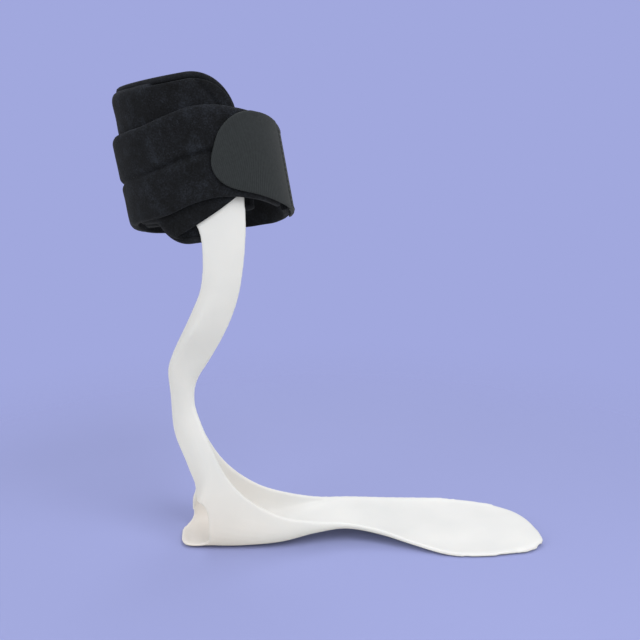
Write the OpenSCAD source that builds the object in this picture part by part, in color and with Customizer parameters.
// Ankle foot orthosis for a left foot: a thin moulded plastic foot plate and heel cup, a leaf behind the
// ankle and a strut that winds round to the inner side of the calf, where a padded cuff slips over its end.
// Frame: +X to the toes, +Y to the outer (lateral) side, +Z up. The sole rests on z = 0 and the plate's
// rear end is at x = 0.

/* [Foot plate] */
// Length of the foot plate, heel end to toe end
plate_length = 250; // [200:1:310]
// Width of the plate under the ball of the foot
forefoot_width = 91; // [72:1:115]
// Width of the heel cup between its outer faces
heel_width = 53; // [44:1:66]
// Wall thickness of the foot plate and heel cup
shell_wall = 2.8; // [2:0.1:4]
// Height of the top of the heel window
window_height = 36; // [29:1:44]
// Height of the sill under the heel window
window_sill = 3; // [2.5:0.1:5]

/* [Ankle leaf and strut] */
// Height of the ankle leaf's narrowest point
leaf_height = 104; // [86:1:126]
// Wall thickness of the leaf and the strut
strut_wall = 3; // [2:0.1:4]
// Width of the lip turned out along the strut's rear edge
lip_width = 3; // [0:0.1:4]
// Width of the strut's end inside the cuff, along its curve
blade_width = 41; // [33:1:49]
// Length of the strut's end inside the cuff
blade_length = 60; // [53:1:76]

/* [Calf cuff] */
// Height of the cuff's centre above the floor
cuff_height = 251; // [205:1:305]
// Radius of the calf space inside the pad
calf_radius = 34; // [28:0.1:42]
// Lean of the cuff to the rear, in degrees
cuff_lean = 10; // [0:1:14]
// Drop of the band's loop towards its outer side, as a slope
band_drop = 0.4; // [0:0.01:0.45]
// Drop of the pad towards its outer side, as a slope
pad_fall = 0.11; // [0:0.005:0.3]
// Thickness of the pad's foam
pad_foam_t = 10; // [8:0.1:14]
// Height of the pad above the cuff's centre
pad_rise = 62; // [51:1:74]
// Width of the rounded binding round the pad
binding_w = 2; // [1:0.1:3]
// Thickness of the velour skins
velour_t = 0.9; // [0.6:0.1:1.5]

/* [Strap and tab] */
// Width of the band and strap, along the cuff
band_width = 56; // [46:1:68]
// Thickness of the foam in the band and strap
band_foam_t = 3.2; // [2:0.1:5]
// Width of the groove between the two padded rows
groove_w = 2.4; // [1.5:0.1:4]
// Thickness of the tab's webbing
webbing_t = 1.2; // [0.8:0.1:2]
// Thickness of the hook tape under the tab
hook_t = 0.8; // [0.5:0.1:1.5]
// Length of the tab from the strap's end to its round tip
tab_length = 60; // [50:1:72]

/* [Hidden] */

gap = 0.3;                 // running clearance between pieces that move apart
shell_colour = "whitesmoke";
velour_colour = "#17191e";
foam_colour = "#2a2c30";
thread_colour = "#101114";
webbing_colour = "#2b2f31";

// ---- Stretching the foot's shape to the chosen sizes ----
// The knots below describe the foot at these sizes.
knot_plate = 250;
knot_forefoot = 91;
knot_heel = 53;
knot_leaf = 104;
knot_cuff = 251;
rest_x = 40;               // the heel's rest, where the frame's origin is, in front of the plate's rear
heel_x = 60;               // forward of this the plate stretches with plate_length
heel_z = 60;               // above this the leaf stretches with leaf_height

function stretch_x(x) = x < heel_x ? x : heel_x + (x - heel_x) * (plate_length - heel_x) / (knot_plate - heel_x);
function width_ratio(x) =
    let (k = min(1, max(0, (x - heel_x) / 90)))
    heel_width / knot_heel * (1 - k) + forefoot_width / knot_forefoot * k;
function stretch_z(z) =
    z < heel_z ? z
    : z < knot_leaf ? heel_z + (z - heel_z) * (leaf_height - heel_z) / (knot_leaf - heel_z)
    : leaf_height + (z - knot_leaf) * (cuff_height - leaf_height) / (knot_cuff - knot_leaf);
function place(p) = [stretch_x(p.x) - rest_x, p.y * width_ratio(p.x), stretch_z(p.z)];

// ---- Guide curves of the shell, toe to calf ----
// Each knot holds the outer face's spine, its inner (medial) trim line and its outer (lateral) trim line,
// how square the section is (0.5 square, 1 round), its yaw about Z, how far its rear lip turns out and
// how nearly it is a shallow arc (0 a half ellipse, 1 an arc).
knots = [
    [[249.5, -22, 2.2], [246.5, -31, 2.2], [249.5, -13, 2.6], 0.7, 0, 0, 0],
    [[242, -15, 1.4], [236, -40, 1.6], [245, 9, 2.6], 0.6, 0, 0, 0],
    [[229, -7, 0.3], [220, -44, 1.2], [235, 26, 2.8], 0.5, 0, 0, 0],
    [[208, 0, -0.5], [200, -45, 1], [214, 41, 3.2], 0.5, 0, 0, 0],
    [[185, 2, -0.5], [178, -41, 1.6], [191, 47, 4.4], 0.5, 0, 0, 0],
    [[162, 5, 1.2], [156, -31, 6], [168, 45, 6.5], 0.55, 0, 0, 0],
    [[139, 8, 4.4], [134, -22, 12], [144, 40.5, 9.5], 0.65, 0, 0, 0],
    [[116, 8, 7.4], [112, -18.5, 16], [120, 36.5, 12.5], 0.75, 0, 0, 0],
    [[94, 5, 6], [92, -23, 19.5], [97, 31, 15.5], 0.7, 0, 0, 0],
    [[70, 1, 1.4], [72, -26.5, 24.5], [76, 28, 20.5], 0.6, 0, 0, 0],
    [[45, 0, -0.5], [56, -27, 32.4], [58, 27, 26.5], 0.55, 0, 0, 0],
    [[22, 0, -0.5], [42.5, -27, 43], [44, 26.5, 35], 0.55, 0, 0, 0],
    [[1, 0, 2], [32, -26, 56.5], [34, 25.5, 44], 0.6, 0, 0, 0],
    [[11.5, 0, 35], [24, -24.5, 73], [25, 24, 56], 0.75, 0, 0, 0],
    [[7, 0, 54], [17.8, -22.5, 88], [17, 21.5, 72], 0.85, 0, 0, 0],
    [[-1.5, -0.5, 78], [13.6, -20, 101], [12, 18.5, 88], 1, 2, 0, 0],
    [[-2.8, -4, 100], [13.6, -20.5, 112], [5, 14, 103], 1, 10, 0.3, 0],
    [[-1.6, -11, 118], [16.5, -23.5, 123], [-1.8, 7, 119], 1, 28, 1, 0.2],
    [[2.5, -22, 134], [24, -31, 137], [-0.2, -4, 133], 1, 48, 1, 0.6],
    [[12, -37.5, 154], [33.5, -38.5, 155.3], [7, -19, 154], 1, 70, 0.9, 0.9],
    [[22.5, -45.5, 171], [40.5, -42.5, 172], [13, -34, 171], 1, 84, 0.5, 1],
    [[31, -49, 188], [44.8, -45, 188], [18.8, -43.5, 187], 1, 93, 0.1, 1],
    [[34.5, -50.5, 207], [47.6, -45.5, 207], [21.2, -49.5, 206], 1, 97, 0, 1],
    [[33.5, -50.6, 226], [48.9, -45, 226], [19.5, -50.6, 225.5], 1, 98, 0, 1]
];
leaf_first = 15;           // knot where the leaf begins
leaf_last = 17;            // knot where the leaf ends

// ---- Cuff frame ----
// Angles run round the calf from the front, +X, towards the outer side, +Y; 270 is the inner side.
cuff_centre = [22 - rest_x, -6.5, cuff_height];
blade_angle = 278;         // where the strut's end sits round the calf
pad_from = 125;
pad_to = 313;
band_from = 96;             // the band runs from the cuff's outer side, round the rear, to band_to
band_to = 336;
strap_to = 346 - 360;      // the strap runs from band_from forward to here
tab_from = 15;             // the tab is sewn on the strap from here to the strap's end
lining_r = calf_radius + velour_t;                 // outside of the pad's lining
pad_back_r = lining_r + pad_foam_t / 2;            // outside of the foam behind the strut
pocket_in_r = pad_back_r + velour_t;               // pad's cover behind the strut
blade_in_r = pocket_in_r + gap;
blade_out_r = blade_in_r + strut_wall;
pouch_in_r = blade_out_r + gap;
pouch_out_r = pouch_in_r + velour_t + 0.6;
pad_foam_r = pouch_out_r - velour_t;               // the pad swells to the pouch's level beside it
band_in_r = pouch_out_r + gap;
band_skin_r = band_in_r + velour_t;
band_foam_r = band_skin_r + band_foam_t;
band_out_r = band_foam_r + velour_t;
hook_in_r = band_out_r + gap;
tab_in_r = hook_in_r + hook_t;
tab_out_r = tab_in_r + webbing_t;
arc_degree = 180 / PI;                             // turns arc length over radius into degrees
blade_half = blade_width / 2 / blade_out_r * arc_degree;
seam_w = 3;                                        // width of the pouch's sewn sides
side_gap = 1;                                      // play beside the strut in its pouch
pouch_half = blade_half + (side_gap + seam_w) / blade_out_r * arc_degree;
inner_half = blade_half + side_gap / blade_out_r * arc_degree;
pad_drop = 25;             // pad below the cuff's middle level, beside its tongue
tongue_drop = 37;          // the pad's tongue below the cuff's middle level
tongue_angle = 260;
tongue_half = 29;          // half the tongue's width
tongue_round = 22;         // round corners of the tongue
corner_angle = 285;        // where the pad's round upper corner faces
corner_r = 29;             // round upper corner at the pad's front edge
mouth_drop = 12;           // pouch's mouth below the cuff's middle level
pouch_top = pad_rise - 3;  // pouch's top above the cuff's middle level
pouch_inset = 2;           // pouch's edge inside the pad's round corner
thread_w = 0.8;            // width of a line of stitches
thread_h = 0.4;            // how far it stands out of the cloth
band_tilt = [band_drop, 0.0019, 5.4];   // slope, bend per mm and forward dip of the band's loop
pad_tilt = [pad_fall, 0, 0];            // the same of the pad
mould_step = 5;            // stations between two knots
across = 20;               // faces across a section
lip_from = 0.72;           // share of the half section where the rear lip begins to turn out
edge_round = 1;            // width of the rounding along the trim lines

function cuff_point(r, angle, z) =
    cuff_centre + [r * cos(angle) * cos(cuff_lean) - z * sin(cuff_lean), r * sin(angle),
        r * cos(angle) * sin(cuff_lean) + z * cos(cuff_lean)];

// The strut's end follows the cuff's curve; its two top corners are round.
blade_start = -8;
blade_corner = 28;
blade_flat = 0.3;          // share of the width that stays straight at the very top
function blade_share(z) =
    let (left = (blade_start + blade_length - z) / blade_corner)
    left >= 1 ? 1 : blade_flat + (1 - blade_flat) * sqrt(max(0, 1 - pow(1 - left, 2)));
function blade_knot(z) =
    let (half = blade_half * blade_share(z))
    [cuff_point(blade_out_r, blade_angle, z), cuff_point(blade_out_r, blade_angle + half, z),
        cuff_point(blade_out_r, blade_angle - half, z), 1, blade_angle - 180, 0, 1];
blade_levels = [0, 0.22, 0.44, 0.66, 0.76, 0.86, 0.94, 0.985, 1];
shell_knots = concat(
    [for (k = knots) [place(k[0]), place(k[1]), place(k[2]), k[3], k[4], k[5], k[6]]],
    [for (s = blade_levels) blade_knot(blade_start + s * blade_length)]
);

// ---- Lofting ----
last_knot = len(shell_knots) - 1;
function knot(i) = shell_knots[min(last_knot, max(0, i))];
function curve(a, b, c, d, t) =
    0.5 * (2 * b + (c - a) * t + (2 * a - 5 * b + 4 * c - d) * t * t + (3 * b - a - 3 * c + d) * t * t * t);
function station(u) =
    let (i = min(last_knot - 1, floor(u)), t = u - i)
    [for (k = [0:6]) curve(knot(i - 1)[k], knot(i)[k], knot(i + 1)[k], knot(i + 2)[k], t)];
function power(x, e) = pow(max(0, x), e);
function section_point(s, v) =
    let (
        side = v < 0 ? s[1] : s[2],
        lateral = [-sin(s[4]), cos(s[4]), 0],
        reach = (side - s[0]) * lateral,
        rise = side - s[0] - reach * lateral,
        turn = 90 * abs(v),
        lip = v > lip_from ? s[5] * lip_width * pow((v - lip_from) / (1 - lip_from), 2) : 0
    )
    s[0] + reach * ((1 - s[6]) * power(sin(turn), s[3]) + s[6] * abs(v)) * lateral
    + rise * ((1 - s[6]) * (1 - power(cos(turn), s[3])) + s[6] * v * v)
    - lip * unit(rise);
function unit(p) = norm(p) < 0.001 ? [0, 0, 0] : p / norm(p);
function near_edge(edge, next) = edge + min(edge_round, norm(next - edge) / 2) * unit(next - edge);
function trimmed(row) =
    let (n = len(row) - 1)
    concat(
        [row[0], near_edge(row[0], row[1])],
        [for (j = [1:n - 1]) row[j]],
        [near_edge(row[n], row[n - 1]), row[n]]
    );
function row_at(u) =
    let (s = station(u))
    trimmed([for (j = [0:across]) section_point(s, 2 * j / across - 1)]);
function inward(rows, i, j) =
    let (
        before = rows[max(0, i - 1)][j],
        after = rows[min(len(rows) - 1, i + 1)][j],
        left = rows[i][max(0, j - 1)],
        right = rows[i][min(len(rows[i]) - 1, j + 1)]
    )
    unit(cross(right - left, after - before));

all_rows = [for (u = [0:1 / mould_step:last_knot]) row_at(u)];
all_walls = [for (i = [0:len(all_rows) - 1])
    let (k = min(1, max(0, (i / mould_step - 12) / 3)))
    shell_wall * (1 - k) + strut_wall * k];
// At a trim line the wall is narrowed to a third, which rounds its edge.
function depth(i, j, share) =
    let (edge = j == 0 || j == len(all_rows[i]) - 1)
    all_walls[i] * (edge ? (share + 1) / 3 : share);
function floored(p) = [p.x, p.y, max(0, p.z)];
function skin(i, share) =
    [for (j = [0:len(all_rows[i]) - 1])
        floored(all_rows[i][j] + depth(i, j, share) * inward(all_rows, i, j))];

// One length of the shell, between two of its knots. Neighbouring lengths share the same end face.
module moulding(from_knot, to_knot) {
    first = from_knot * mould_step;
    last = min(to_knot * mould_step, len(all_rows) - 1);
    loops = [for (i = [first:last]) concat(skin(i, 0), [for (j = [len(all_rows[i]) - 1:-1:0]) skin(i, 1)[j]])];
    n = len(loops[0]);
    m = n / 2;
    rows = len(loops);
    points = [for (loop = loops) for (p = loop) p];
    sides = [for (i = [0:rows - 2]) for (j = [0:n - 1])
        let (a = i * n + j, b = i * n + (j + 1) % n)
        each [[a, b + n, b], [a, a + n, b + n]]];
    function cap(base) = [for (j = [0:m - 2])
        each [[base + j, base + n - 2 - j, base + n - 1 - j], [base + j, base + j + 1, base + n - 2 - j]]];
    end = [for (f = cap((rows - 1) * n)) [f[2], f[1], f[0]]];
    polyhedron(points, concat(sides, cap(0), end), convexity = 6);
}

// ---- Shell ----
// Opening behind the heel, wider on the inner side, cut above the sill.
window_top_x = 12;
window_inner_x = 20.5;
window_outer_x = 9;
window_fillet = 7;
module heel_window() {
    reach = heel_width;
    for (side = [[-1, window_inner_x], [1, window_outer_x]])
        mirror([0, side[0] < 0 ? 0 : 1, 0])
            translate([-rest_x, 0, 0])
                rotate([90, 0, 0])
                    linear_extrude(height = reach)
                        polygon(window_outline(side[1]));
}
// Half the window in side view: a curve from the sill, forward and up to the top.
function window_outline(deep) =
    let (
        foot = [for (a = [0:15:90]) [deep - window_fillet + window_fillet * sin(a),
            window_sill + window_fillet * (1 - cos(a))]],
        arch = [for (t = [0.1:0.1:1])
            let (z0 = window_sill + window_fillet)
            [deep + (window_top_x - deep) * t * t, z0 + (window_height - z0) * sqrt(1 - pow(1 - t, 2))]]
    )
    concat([[-40, window_sill]], foot, arch, [[-40, window_height]]);

module foot_shell() {
    color(shell_colour)
        difference() {
            moulding(0, leaf_first);
            heel_window();
        }
}
module ankle_leaf() {
    color(shell_colour)
        moulding(leaf_first, leaf_last);
}
module calf_strut() {
    color(shell_colour)
        moulding(leaf_last, last_knot);
}

// ---- Cuff helpers ----
wide = 100;                // larger than the cuff's radius and half its height

module in_cuff() {
    translate(cuff_centre)
        rotate([0, -cuff_lean, 0])
            children();
}
module wedge(from, to) {
    steps = ceil((to - from) / 30);
    reach = 200;
    polygon(concat([[0, 0]], [for (i = [0:steps])
        let (a = from + (to - from) * i / steps)
        reach * [cos(a), sin(a)]]));
}
module arc_wall(r_in, r_out, from, to) {
    translate([0, 0, -wide])
        linear_extrude(height = 2 * wide)
            intersection() {
                difference() {
                    circle(r = r_out, $fn = 128);
                    circle(r = r_in, $fn = 128);
                }
                wedge(from, to);
            }
}
// Height of a sloping level across the cuff, which drops towards the outer side and flattens out there.
function sag(y, tilt) = tilt[1] * y * y - tilt[0] * y;
// A slice of the cuff between two such levels.
module slice(low, high, tilt) {
    reach = 80;
    step = 16;
    rotate([0, tilt[2], 0])
        rotate([90, 0, 90])
            linear_extrude(height = 4 * reach, center = true)
                polygon(concat(
                    [for (y = [-reach:step:reach]) [y, sag(y, tilt) + low]],
                    [for (y = [reach:-step:-reach]) [y, sag(y, tilt) + high]]
                ));
}
module band_piece(r_in, r_out, from, to, low, high) {
    in_cuff()
        intersection() {
            arc_wall(r_in, r_out, from, to);
            slice(low, high, band_tilt);
        }
}
// An outline seen from outside at one angle round the calf, pushed through the wall.
module seen_from(angle) {
    rotate([0, 0, angle])
        rotate([90, 0, 90])
            linear_extrude(height = 120)
                children();
}
module round_box(width, low, high, r) {
    hull()
        for (x = [-1, 1])
            for (y = [low + r, high - r])
                translate([x * (width / 2 - r), y])
                    circle(r = r, $fn = 48);
}

// Height of a sloping level at a place round the cuff, and its slope there in degrees, seen from outside.
function rise_at(r, angle, tilt) = sag(r * sin(angle), tilt) - r * cos(angle) * tan(tilt[2]);
function slope_at(r, angle, tilt) =
    atan(cos(angle) * (2 * tilt[1] * r * sin(angle) - tilt[0]) + sin(angle) * tan(tilt[2]));

// ---- Pad ----
module tongue_outline(grow) {
    rise = rise_at(pad_foam_r, tongue_angle, pad_tilt);
    round_box(2 * (tongue_half + grow), rise - tongue_drop - grow, rise + tongue_drop, tongue_round);
}
module pad_blank(r_in, r_out, grow) {
    turn = grow / calf_radius * arc_degree;
    intersection() {
        arc_wall(r_in, r_out, pad_from - turn, pad_to + turn);
        union() {
            difference() {
                slice(-pad_drop - grow, pad_rise + grow, pad_tilt);
                pad_corner(grow);
            }
            intersection() {
                slice(-2 * tongue_drop, 0, pad_tilt);
                seen_from(tongue_angle)
                    tongue_outline(grow);
            }
        }
    }
}
// What is cut away at the pad's upper front corner.
module pad_corner(grow) {
    edge = pad_foam_r * sin(pad_to - corner_angle) + grow;
    top = rise_at(pad_foam_r, corner_angle, pad_tilt) + pad_rise + grow;
    seen_from(corner_angle)
        translate([edge, top])
            rotate(slope_at(pad_foam_r, corner_angle, pad_tilt))
                difference() {
                    translate([-corner_r, -corner_r])
                        square(2 * corner_r);
                    translate([-corner_r, -corner_r])
                        circle(r = corner_r, $fn = 64);
                }
}
// The channel in the pad's outer face where the strut and its pouch lie.
module pouch_channel(depth_r) {
    arc_wall(depth_r, 2 * pad_foam_r, blade_angle - pouch_half, blade_angle + pouch_half);
}
module pad_lining() {
    color(velour_colour)
        in_cuff()
            pad_blank(calf_radius, lining_r, 0);
}
module pad_foam() {
    color(foam_colour)
        in_cuff()
            difference() {
                pad_blank(lining_r, pad_foam_r, 0);
                pouch_channel(pad_back_r);
            }
}
module pad_cover() {
    color(velour_colour)
        in_cuff()
            union() {
                difference() {
                    pad_blank(pad_foam_r, pouch_out_r, 0);
                    pouch_channel(pad_back_r);
                }
                intersection() {
                    pad_blank(pad_back_r, pocket_in_r, 0);
                    pouch_channel(pad_back_r);
                }
            }
}
module pad_binding() {
    color(velour_colour)
        in_cuff()
            difference() {
                pad_blank(calf_radius, pouch_out_r, binding_w);
                pad_blank(calf_radius - 1, pouch_out_r + 1, 0);
                pouch_channel(pocket_in_r);
            }
}
// A pocket on the pad that slips over the strut's end, open at the bottom and closed at the top.
module pocket(r_in, r_out, half, low, high, inset) {
    difference() {
        intersection() {
            arc_wall(r_in, r_out, blade_angle - half, blade_angle + half);
            slice(low, high, pad_tilt);
        }
        pad_corner(-inset);
    }
}
module strut_pouch() {
    color(velour_colour)
        in_cuff()
            difference() {
                pocket(pocket_in_r, pouch_out_r, pouch_half, -mouth_drop, pouch_top, pouch_inset);
                pocket(pocket_in_r - 1, pouch_in_r, inner_half, -mouth_drop - 1, pouch_top - seam_w,
                    pouch_inset + seam_w);
            }
}
// A line of stitches along the pouch's sewn edge, up one side, over the top and down the other.
module pouch_stitching() {
    mid_half = blade_half + (side_gap + seam_w / 2) / blade_out_r * arc_degree;
    turn = thread_w / 2 / pouch_out_r * arc_degree;
    top = pouch_top - seam_w / 2;
    inset = pouch_inset + seam_w / 2;
    color(thread_colour)
        in_cuff()
            difference() {
                pocket(pouch_out_r, pouch_out_r + thread_h / 2, mid_half + turn, seam_w - mouth_drop,
                    top + thread_w / 2, inset - thread_w / 2);
                pocket(pouch_out_r - 1, pouch_out_r + 1, mid_half - turn, -mouth_drop,
                    top - thread_w / 2, inset + thread_w / 2);
            }
}

// ---- Band and strap ----
// A padded strip in two rows: a lining, two foam rows and a velour cover that dips between the rows.
groove_skin = 0.5;         // velour left on each side of the groove
row_low = groove_w / 2;    // where a foam row begins beside the groove
row_high = band_width / 2 - velour_t;
module strip_lining(from, to) {
    color(velour_colour)
        band_piece(band_in_r, band_skin_r, from, to, -band_width / 2, band_width / 2);
}
module strip_foam(from, to, low, high) {
    turn = velour_t / band_in_r * arc_degree;
    color(foam_colour)
        band_piece(band_skin_r, band_foam_r, from + turn, to - turn, low, high);
}
module strip_cover(from, to) {
    turn = velour_t / band_in_r * arc_degree;
    color(velour_colour)
        in_cuff()
            difference() {
                intersection() {
                    arc_wall(band_skin_r, band_out_r, from, to);
                    slice(-band_width / 2, band_width / 2, band_tilt);
                }
                for (row = [[row_low, row_high], [-row_high, -row_low]])
                    intersection() {
                        arc_wall(band_skin_r - 1, band_foam_r, from + turn, to - turn);
                        slice(row[0], row[1], band_tilt);
                    }
                intersection() {
                    arc_wall(band_skin_r + velour_t, band_out_r + 1, from - 5, to + 5);
                    slice(-row_low + groove_skin, row_low - groove_skin, band_tilt);
                }
            }
}
module strip_seam(from, to) {
    turn = 2 * velour_t / band_in_r * arc_degree;
    color(thread_colour)
        band_piece(band_skin_r + velour_t, band_skin_r + velour_t + thread_h, from + turn, to - turn,
            -thread_w / 2, thread_w / 2);
}
module band_lining() { strip_lining(band_from, band_to); }
module band_foam_upper() { strip_foam(band_from, band_to, row_low, row_high); }
module band_foam_lower() { strip_foam(band_from, band_to, -row_high, -row_low); }
module band_cover() { strip_cover(band_from, band_to); }
module band_seam_stitching() { strip_seam(band_from, band_to); }

strap_end = band_from - gap / band_in_r * arc_degree;
module strap_lining() { strip_lining(strap_to, strap_end); }
module strap_foam_upper() { strip_foam(strap_to, strap_end, row_low, row_high); }
module strap_foam_lower() { strip_foam(strap_to, strap_end, -row_high, -row_low); }
module strap_cover() { strip_cover(strap_to, strap_end); }
module strap_seam_stitching() { strip_seam(strap_to, strap_end); }

// ---- Tab ----
// Webbing sewn on the strap's end, with a free tongue that carries the hook tape and grips the band.
tab_bend = strap_to - gap / tab_out_r * arc_degree;
tab_tip = strap_to - tab_length / tab_out_r * arc_degree;
tip_round = 24;            // round corners of the tab's tip
tip_view = tab_tip + 25;   // where the tip's outline is seen from
module tab_outline(inset) {
    reach = tab_out_r * sin(tip_view - tab_tip) - inset;
    translate([0, rise_at(tab_out_r, tip_view, band_tilt)])
        rotate(slope_at(tab_out_r, tip_view, band_tilt))
            translate([100 - reach, 0])
                round_box(200, -band_width / 2 + inset, band_width / 2 - inset, tip_round - inset);
}
module tab_layer(r_in, r_out, from, to, inset) {
    in_cuff()
        intersection() {
            arc_wall(r_in, r_out, from, to);
            slice(-band_width / 2 + inset, band_width / 2 - inset, band_tilt);
            union() {
                arc_wall(r_in - 1, r_out + 1, tip_view, to);
                seen_from(tip_view)
                    tab_outline(inset);
            }
        }
}
module tab_base() {
    color(webbing_colour)
        band_piece(band_out_r, tab_out_r, strap_to, tab_from, -band_width / 2, band_width / 2);
}
module tab_stitching() {
    turn = thread_w / tab_out_r * arc_degree;
    margin = 3;
    color(thread_colour)
        in_cuff()
            intersection() {
                arc_wall(tab_out_r, tab_out_r + thread_h, strap_to + 2 * turn, tab_from - 2 * turn);
                difference() {
                    slice(-band_width / 2 + margin, band_width / 2 - margin, band_tilt);
                    intersection() {
                        slice(-band_width / 2 + margin + thread_w, band_width / 2 - margin - thread_w, band_tilt);
                        arc_wall(tab_out_r - 1, tab_out_r + 2, strap_to + 3 * turn, tab_from - 3 * turn);
                    }
                }
            }
}
module tab_webbing() {
    color(webbing_colour)
        tab_layer(tab_in_r, tab_out_r, tab_tip - 5, tab_bend, 0);
}
module tab_hook_tape() {
    color(thread_colour)
        tab_layer(hook_in_r, tab_in_r, tab_tip - 5, tab_bend, 1.5);
}

foot_shell();
ankle_leaf();
calf_strut();
pad_lining();
pad_foam();
pad_cover();
pad_binding();
strut_pouch();
pouch_stitching();
band_lining();
band_foam_upper();
band_foam_lower();
band_cover();
band_seam_stitching();
strap_lining();
strap_foam_upper();
strap_foam_lower();
strap_cover();
strap_seam_stitching();
tab_base();
tab_stitching();
tab_webbing();
tab_hook_tape();
